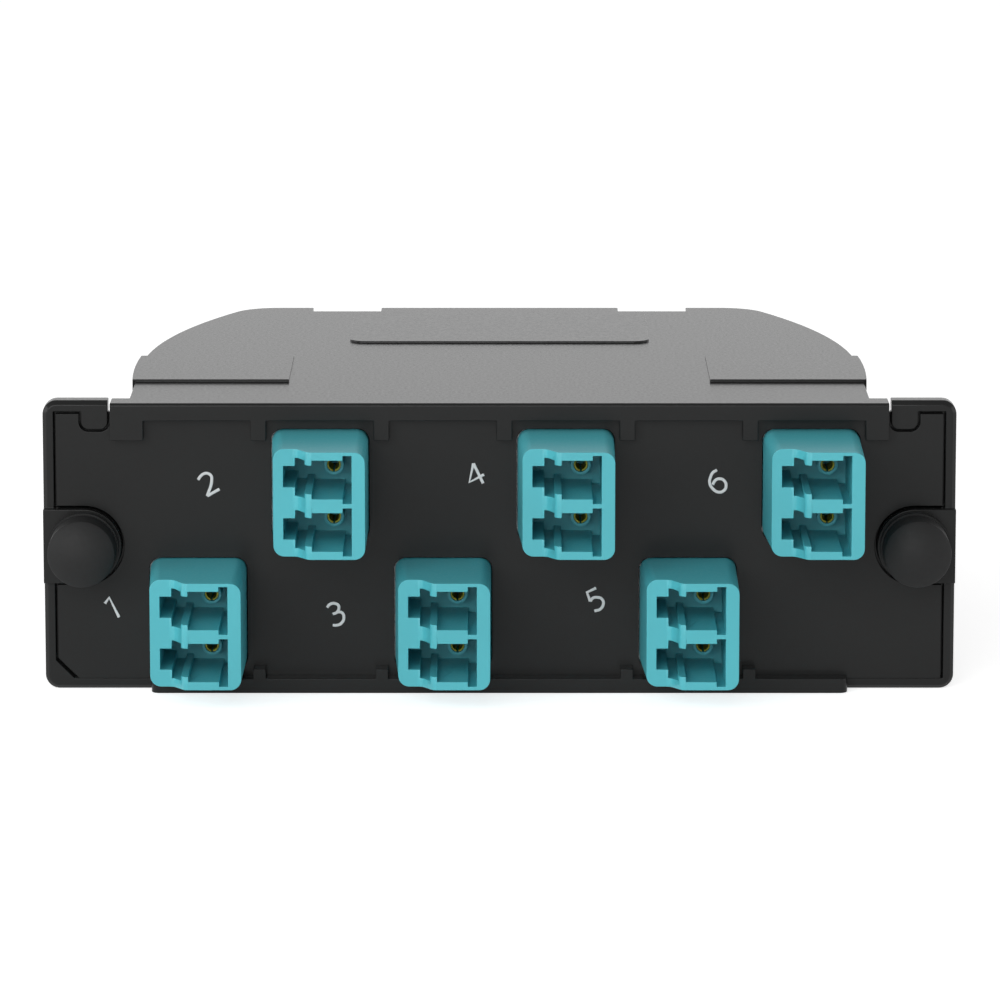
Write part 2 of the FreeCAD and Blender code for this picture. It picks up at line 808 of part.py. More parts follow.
def adapter_front(index):
    """Front half of an adapter: tapered, with the latch side of its face set back by a smooth step."""
    half = new_body(f"lc_adapter_{index + 1}", (column_x(index), s.adapter_middle, row_z(index)))
    side = s.adapter_width / 2
    tall = s.adapter_height / 2
    radius = s.adapter_corner
    root = rounded_rectangle(half, "root", "XZ_Plane", (-side, -tall), (side, tall), radius)
    low = (-side + s.taper_left, -tall + s.taper_height)
    high = (side - s.taper_right, tall - s.taper_height)
    face = rounded_rectangle(half, "face", "XZ_Plane", low, high, radius, s.adapter_reach)
    shell = half.newObject("PartDesign::AdditiveLoft", "shell")
    shell.Profile = root
    shell.Sections = [face]
    shell.Ruled = True
    back = s.face_setback - s.adapter_reach
    outside = -side - 1
    beyond = -s.adapter_reach - 1
    corners = [
        (outside, back),
        (-s.step_left, back),
        (-s.step_right, -s.adapter_reach),
        (-s.step_right, beyond),
        (outside, beyond),
    ]
    step = profile(half, "step_outline", "XY_Plane", corners)
    pocket(half, "step", step, s.adapter_height + 2, midplane=True)
    turns = ((s.step_left, back), (s.step_right, s.adapter_reach))
    dress(
        half,
        "Fillet",
        "step_rounds",
        lambda edge: runs_along(edge, "z") and any(lies_at(edge, x=x, y=y) for x, y in turns),
        s.step_radius,
    )
    for port in ("lower", "upper"):
        cut_front_port(half, port)
    return half


def adapter_rear(index):
    """Rear half of an adapter, inside the case."""
    half = new_body(f"adapter_rear_{index + 1}", (column_x(index), s.adapter_middle, row_z(index)))
    side = s.adapter_width / 2
    tall = s.adapter_height / 2
    block(half, "shell", (-side, 0, -tall), (side, s.adapter_reach, tall))
    dress(half, "Chamfer", "corners", lambda edge: runs_along(edge, "y"), s.adapter_corner)
    for port in ("lower", "upper"):
        cut_rear_port(half, port)
    return half


def adapter_clip(index):
    """A sheet clip bent round three sides of an adapter's rear half, with a spring tang on its side."""
    front = s.plate_thickness
    clip = new_body(f"adapter_clip_{index + 1}", (column_x(index), front, row_z(index)))
    inner_side = s.adapter_width / 2 + s.clip_gap
    inner_tall = s.adapter_height / 2 + s.clip_gap
    outer_side = inner_side + s.clip_thickness
    outer_tall = inner_tall + s.clip_thickness
    open_end = -outer_side + s.clip_wrap
    bend = s.adapter_corner
    corners = [
        (open_end, -outer_tall),
        (open_end, -inner_tall),
        (-inner_side + bend, -inner_tall),
        (-inner_side, -inner_tall + bend),
        (-inner_side, inner_tall - bend),
        (-inner_side + bend, inner_tall),
        (open_end, inner_tall),
        (open_end, outer_tall),
        (-outer_side + bend, outer_tall),
        (-outer_side, outer_tall - bend),
        (-outer_side, -outer_tall + bend),
        (-outer_side + bend, -outer_tall),
    ]
    bent = profile(clip, "bent_sheet", "XZ_Plane", corners)
    pad(clip, "sheet", bent, s.clip_depth, reverse=True)
    corners = [
        (-inner_side, s.clip_depth - s.tang_length),
        (-outer_side - s.tang_lift, 0),
        (-outer_side - s.tang_lift - s.clip_thickness, 0),
        (-outer_side, s.clip_depth - s.tang_length),
    ]
    tang = profile(clip, "tang_outline", "XY_Plane", corners)
    pad(clip, "tang", tang, s.tang_height, midplane=True)
    return clip


def split_sleeve(index, port):
    """A bronze tube with a slit along it, held between the two halves of an adapter."""
    name = f"split_sleeve_{index + 1}_{port}"
    tube = doc.addObject("Part::Cylinder", f"{name}_tube")
    bind(tube, "Radius", s.sleeve_radius)
    bind(tube, "Height", s.sleeve_length)
    bore = doc.addObject("Part::Cylinder", f"{name}_bore")
    bind(bore, "Radius", s.sleeve_bore)
    bind(bore, "Height", s.sleeve_length)
    slit = doc.addObject("Part::Box", f"{name}_slit")
    bind(slit, "Length", s.sleeve_slit)
    bind(slit, "Width", s.sleeve_radius + 1)
    bind(slit, "Height", s.sleeve_length)
    place(slit, (-s.sleeve_slit / 2, 0, 0))
    opened = doc.addObject("Part::Fuse", f"{name}_opening")
    opened.Base = bore
    opened.Tool = slit
    sleeve = doc.addObject("Part::Cut", name)
    sleeve.Label = name
    sleeve.Base = tube
    sleeve.Tool = opened
    sleeve.Placement = Placement(Vector(), AXES["y"])
    middle = s.adapter_middle - s.sleeve_length / 2
    place(sleeve, (column_x(index) + s.port_axis, middle, row_z(index) + port_z(port)))
    return sleeve


def lc_plug(index, port):
    """A plug of the inner harness: ferrule, square body, latch arm and short boot."""
    corner = (column_x(index) + s.port_axis, s.adapter_middle, row_z(index) + port_z(port))
    plug = new_body(f"lc_plug_{index + 1}_{port}", corner)
    half = s.plug_side / 2
    end = s.plug_start + s.plug_length
    block(plug, "housing", (-half, s.plug_start, -half), (half, end, half))
    rod(plug, "ferrule", "y", ORIGIN, s.ferrule_radius, s.plug_start)
    latch_end = s.plug_start + s.latch_length
    latch_out = half + s.neck_width + s.slot_width / 2
    corners = [
        (-half, s.plug_start),
        (-half - s.latch_thickness, s.plug_start),
        (-latch_out, latch_end - s.latch_thickness),
        (-latch_out, latch_end),
        (-latch_out + s.latch_thickness, latch_end),
        (-half, s.plug_start + s.latch_length / 2),
    ]
    arm = profile(plug, "latch_outline", "XY_Plane", corners)
    pad(plug, "latch_arm", arm, s.latch_height, midplane=True)
    half = s.boot_side / 2
    block(plug, "boot", (-half, end, -half), (half, end + s.boot_length, half))
    return plug


# ---------------------------------------------------------------- multi-fibre side

def mpo_middle():
    """The plane where the two multi-fibre ferrules meet."""
    return s.case_depth + (s.mpo_outside - s.mpo_inside) / 2


def mpo_adapter():
    """Keyed adapter with a flange against the outside of the rear wall."""
    adapter = new_body("mpo_adapter", (0, 0, panel_middle))
    half = s.mpo_width / 2
    tall = s.mpo_tall / 2
    front = s.case_depth - s.mpo_inside
    rear = s.case_depth + s.mpo_outside
    block(adapter, "housing", (-half, front, -tall), (half, rear, tall))
    half = s.mpo_flange_width / 2
    tall = s.mpo_flange_tall / 2
    flange_rear = s.case_depth + s.mpo_flange_thickness
    block(adapter, "flange", (-half, s.case_depth, -tall), (half, flange_rear, tall))
    dress(
        adapter,
        "Fillet",
        "flange_corners",
        lambda edge: runs_along(edge, "y") and lies_at(edge, x=half, z=tall),
        s.mpo_flange_thickness,
    )
    web_front = mpo_middle() - s.mpo_web / 2
    web_rear = mpo_middle() + s.mpo_web / 2
    for name, start, end in (("inner", front - 1, web_front), ("outer", web_rear, rear + 1)):
        half = s.mpo_port_width / 2
        tall = s.mpo_port_tall / 2
        block(adapter, f"{name}_port", (-half, start, -tall), (half, end, tall), cut=True)
        half = s.mpo_key_width / 2
        low = (-half, start, tall)
        block(adapter, f"{name}_key", low, (half, end, tall + s.mpo_key_rise), cut=True)
    half = s.mpo_window_width / 2
    tall = s.mpo_window_tall / 2
    low = (-half, web_front - 1, -tall)
    block(adapter, "ferrule_window", low, (half, web_rear + 1, tall), cut=True)
    return adapter


def mpo_plug():
    """Multi-fibre plug of the inner harness, with its flat boot."""
    plug = new_body("mpo_plug", (0, 0, panel_middle))
    front = mpo_plug_front()
    nose = mpo_middle() - s.mpo_web / 2 - s.mpo_gap
    half = s.mpo_port_width / 2 - s.mpo_gap
    tall = s.mpo_port_tall / 2 - s.mpo_gap
    body_front = nose - s.mpo_plug_body
    block(plug, "housing", (-half, body_front, -tall), (half, nose, tall))
    half = s.mpo_window_width / 2 - s.mpo_gap
    tall = s.mpo_window_tall / 2 - s.mpo_gap
    block(plug, "ferrule", (-half, nose, -tall), (half, mpo_middle(), tall))
    sections = []
    for name, level, flare in (("end", -front, zero), ("root", -body_front, s.mpo_boot_flare)):
        wide = s.mpo_boot_width / 2 + flare
        thick = s.mpo_boot_tall / 2 + flare
        corners = [(-wide, -thick), (wide, -thick), (wide, thick), (-wide, thick)]
        sections.append(profile(plug, f"boot_{name}", "XZ_Plane", corners, level))
    boot = plug.newObject("PartDesign::AdditiveLoft", "boot")
    boot.Profile = sections[0]
    boot.Sections = sections[1:]
    boot.Ruled = True
    return plug


def mpo_plug_front():
    """Where the boot ends and the buffered fibres come out."""
    nose = mpo_middle() - s.mpo_web / 2 - s.mpo_gap
    return nose - s.mpo_plug_body - s.mpo_boot_length


def eased(points, length):
    """The same route with each corner cut off, a length before and after it."""
    route = [points[0]]
    for before, corner, after in zip(points, points[1:], points[2:]):
        route.append(corner + (before - corner).normalize() * length)
        route.append(corner + (after - corner).normalize() * length)
    return route + [points[-1]]


def six_sided_lead(route, radius):
    """A plain six-sided strand with mitred bends, along a route that starts level with Y."""
    corners = []
    for index in range(6):
        angle = index * math.pi / 3
        offset = Vector(radius * math.cos(angle), 0, radius * math.sin(angle))
        corners.append(route[0] + offset)
    section = Part.makePolygon(corners + corners[:1])
    spine = Part.makePolygon(route)
    sharp_mitre = 1
    strand = spine.makePipeShell([section], True, False, sharp_mitre)
    expected = Part.Face(section).Area * spine.Length
    if abs(strand.Volume - expected) > TOLERANCE * expected:
        raise RuntimeError("a lead has folded over itself")
    return strand


def fibre_leads():
    """Twelve buffered fibres that fan out from the multi-fibre plug's boot to the LC plugs."""
    strands = []
    start_y = mpo_plug_front().value
    end_y = (s.adapter_middle + s.plug_start + s.plug_length + s.boot_length).value
    run = s.lead_run.value
    for index in range(COLUMNS):
        for port, side in (("lower", -0.5), ("upper", 0.5)):
            start_x = (s.lead_pitch * (index - (COLUMNS - 1) / 2)).value
            start_z = (panel_middle + s.lead_pitch * side).value
            end_x = (column_x(index) + s.port_axis).value
            end_z = (row_z(index) + port_z(port)).value
            points = [
                Vector(start_x, start_y, start_z),
                Vector(start_x, start_y - run, start_z),
                Vector(end_x, end_y + run, end_z),
                Vector(end_x, end_y, end_z),
            ]
            route = eased(points, s.lead_bend.value)
            strands.append(six_sided_lead(route, s.lead_radius.value))
    leads = doc.addObject("Part::Feature", "fibre_leads")
    leads.Label = "fibre_leads"
    leads.Shape = Part.Compound(strands)
    leads.Placement = Placement()
    return leads


# ---------------------------------------------------------------- plungers

def turned(body, name, corners):
    """A solid of revolution about the body's Y axis, from corners of radius and depth."""
    outline = profile(body, f"{name}_outline", "XY_Plane", corners)
    feature = body.newObject("PartDesign::Revolution", name)
    feature.Profile = outline
    feature.ReferenceAxis = (outline, ["V_Axis"])
    feature.Angle = 360
    return feature


def grommet(label, side):
    """The collar that a plunger slides in, slit at its rear end so that it can spread."""
    collar = new_body(label, (side * boss_x, -s.boss_rise, panel_middle))
    bore = s.stem_radius + s.stem_gap
    length = s.grommet_length
    shoulder_end = s.boss_rise + s.panel_depth
    corners = [
        (bore, -s.grommet_flange),
        (s.grommet_flange_radius, -s.grommet_flange),
        (s.grommet_flange_radius, 0),
        (s.grommet_shoulder, 0),
        (s.grommet_shoulder, shoulder_end),
        (s.grommet_radius, shoulder_end),
        (s.grommet_radius, length),
        (bore, length),
    ]
    turned(collar, "sleeve", corners)
    half = s.grommet_slit / 2
    start = length - s.grommet_slit_length
    wide = s.grommet_radius + 1
    block(collar, "upright_slit", (-half, start, -wide), (half, length + 1, wide), cut=True)
    block(collar, "level_slit", (-wide, start, -half), (wide, length + 1, half), cut=True)
    return collar


def plunger(label, side):
    """A domed knob on a stem."""
    seat = s.boss_rise + s.grommet_flange + s.knob_gap
    knob = new_body(label, (side * boss_x, -seat, panel_middle))
    crown_radius = (s.knob_radius * s.knob_radius + s.knob_crown * s.knob_crown) / (s.knob_crown * 2)
    rear = s.stem_length + seat
    corners = [
        (0, -s.knob_length - s.knob_crown, crown_radius),
        (s.knob_radius, -s.knob_length),
        (s.knob_radius, 0),
        (s.stem_radius, 0),
        (s.stem_radius, rear),
        (0, rear),
    ]
    turned(knob, "knob", corners)
    return knob


# ---------------------------------------------------------------- the whole cassette

def build_nodes():
    nodes = [base_tray(), top_cover(), adapter_plate()]
    for index in range(COLUMNS):
        nodes += [adapter_front(index), adapter_rear(index), adapter_clip(index)]
        for port in ("lower", "upper"):
            nodes += [split_sleeve(index, port), lc_plug(index, port)]
    nodes += [mpo_adapter(), mpo_plug(), fibre_leads()]
    for name, side in (("left", -1), ("right", 1)):
        nodes += [grommet(f"{name}_grommet", side), plunger(f"{name}_plunger", side)]
    return nodes


def check(nodes):
    """Stop if any feature failed or any node is not made of sound solids."""
    for thing in doc.Objects:
        if "Invalid" in thing.State or "Error" in thing.State:
            raise RuntimeError(f"{thing.Label} failed: {thing.State}")
    for node in nodes:
        shape = node.Shape
        if shape.isNull() or not shape.isValid() or not shape.Solids:
            raise RuntimeError(f"{node.Label} has no valid shape")


nodes = build_nodes()
doc.recompute()
check(nodes)
os.makedirs("parts", exist_ok=True)
for node in nodes:
    node.Shape.exportStep(f"parts/{node.Label}.step")
    print(f"{node.Label}: {len(node.Shape.Solids)} solid, {node.Shape.Volume:.1f} mm3")
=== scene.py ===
"""The looks of a fibre cassette: finishes, softened edges, port numbers and a plain studio."""

import json
from math import radians

import bpy
from mathutils import Matrix, Vector

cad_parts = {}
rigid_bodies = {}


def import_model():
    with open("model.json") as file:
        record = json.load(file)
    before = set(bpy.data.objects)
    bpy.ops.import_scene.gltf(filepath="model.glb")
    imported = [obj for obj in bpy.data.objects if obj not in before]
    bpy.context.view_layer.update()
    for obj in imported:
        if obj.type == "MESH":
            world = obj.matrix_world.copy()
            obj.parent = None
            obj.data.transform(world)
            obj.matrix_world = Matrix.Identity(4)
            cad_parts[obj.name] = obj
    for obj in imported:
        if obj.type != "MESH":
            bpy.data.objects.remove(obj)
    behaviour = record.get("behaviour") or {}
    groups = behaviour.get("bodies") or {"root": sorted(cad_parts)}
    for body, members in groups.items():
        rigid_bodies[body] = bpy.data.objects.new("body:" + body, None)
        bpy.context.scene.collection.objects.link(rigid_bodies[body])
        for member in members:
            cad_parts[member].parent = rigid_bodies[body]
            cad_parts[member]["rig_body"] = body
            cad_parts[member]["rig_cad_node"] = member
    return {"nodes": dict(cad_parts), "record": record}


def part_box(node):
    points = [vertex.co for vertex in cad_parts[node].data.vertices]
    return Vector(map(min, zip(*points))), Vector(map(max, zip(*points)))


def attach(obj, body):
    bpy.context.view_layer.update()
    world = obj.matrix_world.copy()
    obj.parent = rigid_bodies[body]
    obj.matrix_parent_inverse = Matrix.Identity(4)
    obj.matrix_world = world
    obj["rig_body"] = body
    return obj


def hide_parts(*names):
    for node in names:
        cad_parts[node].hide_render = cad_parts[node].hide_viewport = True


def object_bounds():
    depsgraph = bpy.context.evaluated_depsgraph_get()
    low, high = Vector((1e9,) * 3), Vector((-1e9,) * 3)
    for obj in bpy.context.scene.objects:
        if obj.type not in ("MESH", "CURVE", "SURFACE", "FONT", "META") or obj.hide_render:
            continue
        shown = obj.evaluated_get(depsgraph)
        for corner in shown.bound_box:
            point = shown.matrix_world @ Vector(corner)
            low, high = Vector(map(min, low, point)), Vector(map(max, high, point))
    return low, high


MM = 0.001

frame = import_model()
case_low, case_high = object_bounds()
bpy.ops.object.select_all(action="DESELECT")
record = frame["record"]
bodies = record["behaviour"]["bodies"]
slot_of = {part["node"]: part["material_slot"] for part in record["subparts"]}
body_of = {node: body for body, nodes in bodies.items() for node in nodes}


# Finishes

SKIN_SWING = 0.03  # how far a moulding's roughness strays either way


def new_finish(name):
    """An empty material, with its shader and the coordinates of the piece that it is on."""
    material = bpy.data.materials.new(name)
    material.use_nodes = True
    nodes = material.node_tree.nodes
    nodes.clear()
    output = nodes.new("ShaderNodeOutputMaterial")
    shader = nodes.new("ShaderNodeBsdfPrincipled")
    material.node_tree.links.new(shader.outputs["BSDF"], output.inputs["Surface"])
    place = nodes.new("ShaderNodeTexCoord")
    return material, shader, place


def grain(material, place, scale, detail, stretch=(1, 1, 1)):
    """Noise on the piece, with its spots 1 / scale metres apart and drawn out along an axis."""
    nodes = material.node_tree.nodes
    links = material.node_tree.links
    mapping = nodes.new("ShaderNodeMapping")
    mapping.inputs["Scale"].default_value = stretch
    noise = nodes.new("ShaderNodeTexNoise")
    noise.inputs["Scale"].default_value = scale
    noise.inputs["Detail"].default_value = detail
    links.new(place.outputs["Object"], mapping.inputs["Vector"])
    links.new(mapping.outputs["Vector"], noise.inputs["Vector"])
    return noise.outputs["Fac"]


def graded(material, source, socket, low, high, start=0.35, end=0.65):
    """Turns a pattern into the values of a socket, from low at start to high at end."""
    ramp = material.node_tree.nodes.new("ShaderNodeValToRGB")
    ramp.color_ramp.elements[0].position = start
    ramp.color_ramp.elements[0].color = low
    ramp.color_ramp.elements[1].position = end
    ramp.color_ramp.elements[1].color = high
    material.node_tree.links.new(source, ramp.inputs["Fac"])
    material.node_tree.links.new(ramp.outputs["Color"], socket)


def shades(colour, spread):
    """A slightly darker and a slightly lighter tone of a colour."""
    darker = [channel * (1 - spread) for channel in colour]
    lighter = [channel * (1 + spread) for channel in colour]
    return (*darker, 1), (*lighter, 1)


def grey(value):
    """A solid grey, from 0 for black to 1 for white."""
    return (value, value, value, 1)


def textured(material, shader, source, strength, height):
    """Raises a pattern as fine relief, height metres deep."""
    bump = material.node_tree.nodes.new("ShaderNodeBump")
    bump.inputs["Strength"].default_value = strength
    bump.inputs["Distance"].default_value = height
    material.node_tree.links.new(source, bump.inputs["Height"])
    material.node_tree.links.new(bump.outputs["Normal"], shader.inputs["Normal"])


def moulded(name, colour, rough, gloss, spread=0.06, spark=2600, relief=0.25):
    """A moulded plastic: an even tone with slight flow marks and a fine spark-eroded skin."""
    material, shader, place = new_finish(name)
    flow = grain(material, place, scale=45, detail=2.0, stretch=(1, 0.6, 1.4))
    skin = grain(material, place, scale=spark, detail=4.0)
    darker, lighter = shades(colour, spread)
    graded(material, flow, shader.inputs["Base Color"], darker, lighter)
    smoother, rougher = grey(rough - SKIN_SWING), grey(rough + SKIN_SWING)
    graded(material, skin, shader.inputs["Roughness"], smoother, rougher)
    shader.inputs["Specular IOR Level"].default_value = gloss
    textured(material, shader, skin, strength=relief, height=0.012 * MM)
    return material


def rolled_sheet(name, colour):
    """Bright spring sheet, with fine lines along the way it was rolled."""
    material, shader, place = new_finish(name)
    lines = grain(material, place, scale=900, detail=3.0, stretch=(1, 0.05, 1))
    darker, lighter = shades(colour, spread=0.08)
    graded(material, lines, shader.inputs["Base Color"], darker, lighter)
    graded(material, lines, shader.inputs["Roughness"], grey(0.24), grey(0.38))
    shader.inputs["Metallic"].default_value = 1.0
    textured(material, shader, lines, strength=0.2, height=0.004 * MM)
    return material


def drawn_bronze(name, colour):
    """A split sleeve's bronze, slightly dulled in patches, with drawing lines along it."""
    material, shader, place = new_finish(name)
    patches = grain(material, place, scale=1500, detail=3.0)
    lines = grain(material, place, scale=5000, detail=2.0, stretch=(1, 0.08, 1))
    darker, lighter = shades(colour, spread=0.18)
    graded(material, patches, shader.inputs["Base Color"], darker, lighter)
    graded(material, lines, shader.inputs["Roughness"], grey(0.44), grey(0.58))
    shader.inputs["Metallic"].default_value = 0.25
    textured(material, shader, lines, strength=0.2, height=0.004 * MM)
    return material


def extruded_jacket(name, colour):
    """The soft jacket of a buffered fibre, with a faint ripple from the extruder."""
    material, shader, place = new_finish(name)
    tone = grain(material, place, scale=120, detail=2.0)
    ripple = grain(material, place, scale=1800, detail=2.0)
    darker, lighter = shades(colour, spread=0.08)
    graded(material, tone, shader.inputs["Base Color"], darker, lighter)
    graded(material, ripple, shader.inputs["Roughness"], grey(0.42), grey(0.56))
    textured(material, shader, ripple, strength=0.2, height=0.01 * MM)
    return material


def print_ink(name, colour):
    """Pad-printed ink, a little thin where the skin of the moulding stands up."""
    material, shader, place = new_finish(name)
    cover = grain(material, place, scale=3200, detail=4.0)
    darker, lighter = shades(colour, spread=0.07)
    graded(material, cover, shader.inputs["Base Color"], darker, lighter, start=0.25, end=0.6)
    graded(material, cover, shader.inputs["Roughness"], grey(0.5), grey(0.62))
    textured(material, shader, cover, strength=0.15, height=0.006 * MM)
    return material


finishes = {
    "black_plastic": moulded(
        "satin_black_moulding", (0.0140, 0.0142, 0.0141), rough=0.21, gloss=0.18, relief=0.012
    ),
    "black_nylon": moulded(
        "black_nylon_moulding", (0.0165, 0.0166, 0.0168), rough=0.58, gloss=0.2,
        spark=1900, relief=0.03,
    ),
    "aqua_plastic": moulded(
        "aqua_moulding", (0.078, 0.465, 0.530), rough=0.36, gloss=0.5,
        spread=0.035, spark=3000, relief=0.1,
    ),
    "plug_plastic": moulded(
        "aqua_plug_moulding", (0.090, 0.450, 0.510), rough=0.38, gloss=0.4,
        spread=0.04, spark=2800, relief=0.15,
    ),
    "lead_jacket": extruded_jacket("aqua_fibre_jacket", (0.10, 0.46, 0.50)),
    "spring_steel": rolled_sheet("rolled_spring_steel", (0.56, 0.56, 0.57)),
    "bronze": drawn_bronze("drawn_bronze", (0.42, 0.38, 0.03)),
}
white_ink = print_ink("white_port_ink", (0.62, 0.62, 0.625))


def dress(piece, finish):
    """Gives a piece one finish all over."""
    piece.data.materials.clear()
    piece.data.materials.append(finish)


for node, piece in frame["nodes"].items():
    dress(piece, finishes[slot_of[node]])


# Mouldings with softened edges: how wide each edge is broken, in mm

EDGE_WIDTHS = {
    "left_plunger": 0.08,
    "right_plunger": 0.08,
    "base_tray": 0.1,
    "top_cover": 0.1,
    "adapter_plate": 0.06,
    **{f"lc_adapter_{number}": 0.05 for number in range(1, 7)},
}
EDGE_STEPS = 3
WELD = 0.002 * MM
FLAT_ANGLE = radians(0.5)  # facets that turn by less are one face
SHARP_ANGLE = radians(32)  # edges that turn by more are broken
SMOOTH_ANGLE = radians(35)  # edges that turn by less are shaded smooth


def apply_all(piece):
    """Applies the modifiers of the active piece, first to last."""
    for name in [modifier.name for modifier in piece.modifiers]:
        bpy.ops.object.modifier_apply(modifier=name)


def softened(node, width):
    """Stands a copy with merged facets and broken edges in the place of a plain moulding."""
    bpy.ops.object.select_all(action="DESELECT")
    plain = frame["nodes"][node]
    plain.select_set(True)
    bpy.context.view_layer.objects.active = plain
    bpy.ops.object.duplicate()
    piece = bpy.context.view_layer.objects.active
    piece.name = f"{node}_moulding"
    piece.parent = None
    piece.matrix_world = Matrix.Identity(4)
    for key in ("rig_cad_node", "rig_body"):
        del piece[key]
    bpy.ops.object.mode_set(mode="EDIT")
    bpy.ops.mesh.customdata_custom_splitnormals_clear()
    bpy.ops.mesh.select_all(action="SELECT")
    bpy.ops.mesh.remove_doubles(threshold=WELD)
    bpy.ops.mesh.dissolve_limited(angle_limit=FLAT_ANGLE)
    bpy.ops.object.mode_set(mode="OBJECT")
    edge = piece.modifiers.new("broken_edge", "BEVEL")
    edge.width = width * MM
    edge.segments = EDGE_STEPS
    edge.limit_method = "ANGLE"
    edge.angle_limit = SHARP_ANGLE
    edge.use_clamp_overlap = False
    edge.miter_outer = "MITER_ARC"
    apply_all(piece)
    bpy.ops.object.shade_smooth_by_angle(angle=SMOOTH_ANGLE)
    flat_faces = piece.modifiers.new("flat_faces_stay_flat", "WEIGHTED_NORMAL")
    flat_faces.mode = "FACE_AREA"
    flat_faces.weight = 100
    flat_faces.keep_sharp = True
    apply_all(piece)
    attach(piece, body_of[node])
    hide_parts(node)


for node, width in EDGE_WIDTHS.items():
    softened(node, width)


# Printed port numbers, as strokes across and up from the middle of each number, in mm

NUMBER_STROKES = {
    "1": [("corners", (-0.55, 0.84), (0.24, 1.27), (0.22, -1.40))],
    "2": [
        (
            "curve",
            (-0.88, 1.09), (-0.35, 1.38), (0.28, 1.41), (0.72, 0.92), (0.56, 0.33), (-0.77, -1.15),
        ),
        ("corners", (-0.77, -1.15), (0.91, -1.04)),
    ],
    "3": [
        (
            "curve",
            (-0.53, 1.19), (-0.05, 1.38), (0.40, 1.30), (0.80, 0.80), (0.34, 0.17), (-0.27, 0.16),
        ),
        (
            "curve",
            (0.34, 0.17), (0.80, -0.18), (0.73, -0.82), (0.09, -1.31), (-0.50, -1.25),
            (-0.87, -1.05),
        ),
    ],
    "4": [
        ("corners", (0.19, 1.25), (-1.25, -0.58), (0.74, -0.51)),
        ("corners", (0.19, 1.25), (0.18, -1.42)),
    ],
    "5": [
        ("corners", (0.70, 1.22), (-0.50, 1.22), (-0.63, 0.07)),
        (
            "curve",
            (-0.63, 0.07), (-0.16, 0.28), (0.30, 0.16), (0.74, -0.28), (0.70, -0.83),
            (0.06, -1.32), (-0.70, -1.22),
        ),
    ],
    "6": [
        (
            "curve",
            (0.51, 1.29), (-0.10, 1.22), (-0.51, 0.91), (-0.96, 0.26), (-0.90, -0.63),
            (-0.51, -1.20), (0.10, -1.34), (0.65, -0.92), (0.72, -0.25), (0.28, 0.22),
            (-0.25, 0.24), (-0.72, -0.08),
        ),
    ],
}

# The middle of each number on the plate, across and up, in mm
NUMBER_PLACES = {
    "1": (-46.49, 9.94),
    "2": (-34.77, 24.94),
    "3": (-19.70, 9.13),
    "4": (-2.74, 26.31),
    "5": (11.48, 10.94),
    "6": (26.11, 25.34),
}
NUMBER_TURN = radians(26)
STROKE = 0.34 * MM
INK = 0.02 * MM
INK_SMOOTH_ANGLE = radians(30)


def printed_number(digit, place):
    """One port number, as flat strokes of ink on the front face of the plate."""
    drawing = bpy.data.curves.new(f"port_number_{digit}", "CURVE")
    drawing.dimensions = "3D"
    drawing.bevel_depth = STROKE / 2
    drawing.bevel_resolution = 2
    drawing.use_fill_caps = True
    drawing.resolution_u = 8
    for kind, *points in NUMBER_STROKES[digit]:
        stroke = drawing.splines.new("BEZIER")
        stroke.bezier_points.add(len(points) - 1)
        for knot, (across, up) in zip(stroke.bezier_points, points):
            knot.co = (across * MM, 0, up * MM)
            knot.handle_left_type = "AUTO" if kind == "curve" else "VECTOR"
            knot.handle_right_type = knot.handle_left_type
    bpy.ops.object.select_all(action="DESELECT")
    piece = bpy.data.objects.new(f"port_number_{digit}", drawing)
    bpy.context.scene.collection.objects.link(piece)
    piece.select_set(True)
    bpy.context.view_layer.objects.active = piece
    bpy.ops.object.convert(target="MESH")
    piece = bpy.context.view_layer.objects.active
    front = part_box("adapter_plate")[0].y
    flat = Matrix.Diagonal((1, INK / STROKE * 2, 1, 1))
    turn = Matrix.Rotation(-NUMBER_TURN, 4, "Y")
    move = Matrix.Translation((place[0] * MM, front, place[1] * MM))
    piece.data.transform(move @ turn @ flat)
    bpy.ops.object.shade_smooth_by_angle(angle=INK_SMOOTH_ANGLE)
    dress(piece, white_ink)
    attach(piece, "cassette")


for digit, place in NUMBER_PLACES.items():
    printed_number(digit, place)


# Studio

ROOM_LIGHT = 0.3
# The walls as gloss mirrors them: a grey at each height, from level to straight up
MIRRORED_WALLS = [(0.0, 1.0), (0.3, 0.96), (0.6, 0.6), (1.0, 0.5)]
SHEET_SIZE = 14  # m
SHEET_GAP = 0.05 * MM
SHEET_GREY = 0.8
SHEET_GLOW = 0.72
# Each lamp's place, its size and its power, in metres and watts
SOFTBOXES = {
    "front_softbox": ((-0.42, -1.05, 0.46), (1.1, 0.7), 9.8),
    "left_softbox": ((-1.20, -0.15, 0.35), (0.8, 0.6), 3.2),
    "right_softbox": ((1.20, -0.15, 0.35), (0.8, 0.6), 1.8),
}
CAMERA_PLACE = (0.00006, -0.728095, 0.155397)  # m
CAMERA_DIP = 10.3  # degrees below level
LENS = 222.66  # mm
SENSOR = 36  # mm
FARTHEST = 40  # m


def colour_ramp(nodes, stops):
    """A ramp through greys, each given by its position and value."""
    ramp = nodes.new("ShaderNodeValToRGB")
    first, second, *others = stops
    for element, (position, value) in zip(ramp.color_ramp.elements, (first, second)):
        element.position = position
        element.color = grey(value)
    for position, value in others:
        ramp.color_ramp.elements.new(position).color = grey(value)
    return ramp


def seen_directly(nodes, links, *kinds):
    """1 for the kinds of ray that look at the backdrop, 0 for those that carry light."""
    path = nodes.new("ShaderNodeLightPath")
    total = path.outputs[kinds[0]]
    for kind in kinds[1:]:
        either = nodes.new("ShaderNodeMath")
        either.operation = "MAXIMUM"
        links.new(total, either.inputs[0])
        links.new(path.outputs[kind], either.inputs[1])
        total = either.outputs[0]
    return total


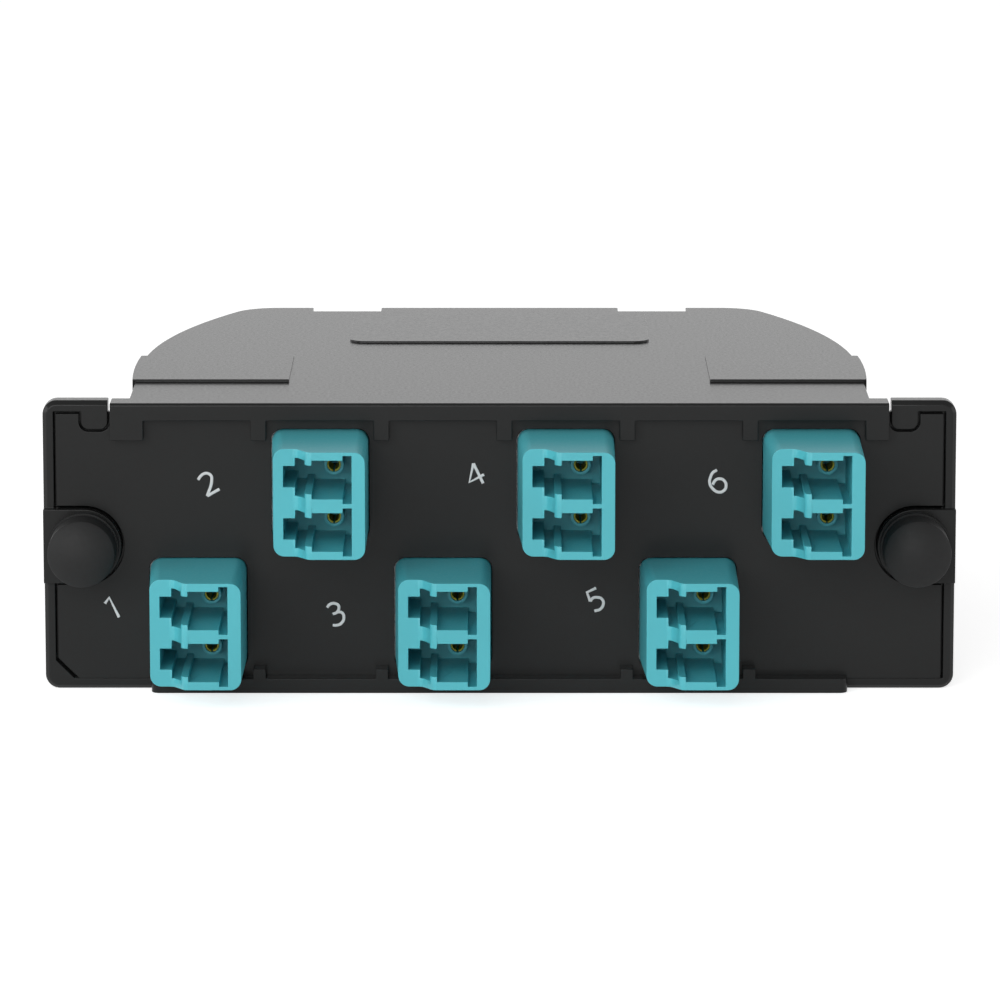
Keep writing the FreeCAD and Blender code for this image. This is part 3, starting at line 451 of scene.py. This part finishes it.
def studio_world():
    """A pale room with white walls and a darker ceiling."""
    world = bpy.data.worlds.new("studio_room")
    bpy.context.scene.world = world
    world.use_nodes = True
    nodes = world.node_tree.nodes
    links = world.node_tree.links
    nodes.clear()
    output = nodes.new("ShaderNodeOutputWorld")
    fill = nodes.new("ShaderNodeBackground")
    fill.inputs["Color"].default_value = grey(1)
    fill.inputs["Strength"].default_value = ROOM_LIGHT
    mirrored = nodes.new("ShaderNodeBackground")
    backdrop = nodes.new("ShaderNodeBackground")
    backdrop.inputs["Color"].default_value = grey(1)
    direction = nodes.new("ShaderNodeTexCoord")
    parts = nodes.new("ShaderNodeSeparateXYZ")
    walls = colour_ramp(nodes, MIRRORED_WALLS)
    links.new(direction.outputs["Generated"], parts.inputs["Vector"])
    links.new(parts.outputs["Z"], walls.inputs["Fac"])
    links.new(walls.outputs["Color"], mirrored.inputs["Color"])
    in_gloss = nodes.new("ShaderNodeMixShader")
    in_view = nodes.new("ShaderNodeMixShader")
    glossy = seen_directly(nodes, links, "Is Glossy Ray", "Is Transmission Ray")
    links.new(glossy, in_gloss.inputs["Fac"])
    links.new(fill.outputs[0], in_gloss.inputs[1])
    links.new(mirrored.outputs[0], in_gloss.inputs[2])
    links.new(seen_directly(nodes, links, "Is Camera Ray"), in_view.inputs["Fac"])
    links.new(in_gloss.outputs[0], in_view.inputs[1])
    links.new(backdrop.outputs[0], in_view.inputs[2])
    links.new(in_view.outputs[0], output.inputs["Surface"])


def studio_floor():
    """A white sheet under the case that keeps a soft shadow."""
    bpy.ops.object.select_all(action="DESELECT")
    bpy.ops.mesh.primitive_plane_add(size=SHEET_SIZE, location=(0, 0, case_low.z - SHEET_GAP))
    floor = bpy.context.view_layer.objects.active
    floor.name = "studio_floor"
    material = bpy.data.materials.new("white_sheet")
    material.use_nodes = True
    nodes = material.node_tree.nodes
    links = material.node_tree.links
    nodes.clear()
    output = nodes.new("ShaderNodeOutputMaterial")
    matt = nodes.new("ShaderNodeBsdfDiffuse")
    matt.inputs["Color"].default_value = grey(SHEET_GREY)
    glow = nodes.new("ShaderNodeEmission")
    glow.inputs["Strength"].default_value = SHEET_GLOW
    lit = nodes.new("ShaderNodeAddShader")
    shown = nodes.new("ShaderNodeMixShader")
    links.new(matt.outputs[0], lit.inputs[0])
    links.new(glow.outputs[0], lit.inputs[1])
    looking = seen_directly(nodes, links, "Is Camera Ray", "Is Glossy Ray", "Is Transmission Ray")
    links.new(looking, shown.inputs["Fac"])
    links.new(matt.outputs[0], shown.inputs[1])
    links.new(lit.outputs[0], shown.inputs[2])
    links.new(shown.outputs[0], output.inputs["Surface"])
    floor.data.materials.append(material)


def softbox(name, place, size, power):
    """A large soft lamp above the floor, aimed at the middle of the bezel."""
    lamp = bpy.data.lights.new(name, "AREA")
    lamp.shape = "RECTANGLE"
    lamp.size, lamp.size_y = size
    lamp.energy = power
    holder = bpy.data.objects.new(name, lamp)
    bpy.context.scene.collection.objects.link(holder)
    holder.location = place
    aim = Vector((0, 0, (case_low.z + case_high.z) / 2)) - Vector(place)
    holder.rotation_euler = aim.to_track_quat("-Z", "Y").to_euler()


def studio_camera():
    """A long lens in front, a little above the case and dipped towards it."""
    lens = bpy.data.cameras.new("studio_camera")
    lens.lens = LENS
    lens.sensor_width = SENSOR
    lens.clip_end = FARTHEST
    camera = bpy.data.objects.new("studio_camera", lens)
    bpy.context.scene.collection.objects.link(camera)
    camera.location = CAMERA_PLACE
    camera.rotation_euler = (radians(90 - CAMERA_DIP), 0, 0)
    bpy.context.scene.camera = camera


studio_camera()
studio_world()
studio_floor()
for name, (place, size, power) in SOFTBOXES.items():
    softbox(name, place, size, power)
bpy.context.scene.view_settings.view_transform = "Standard"
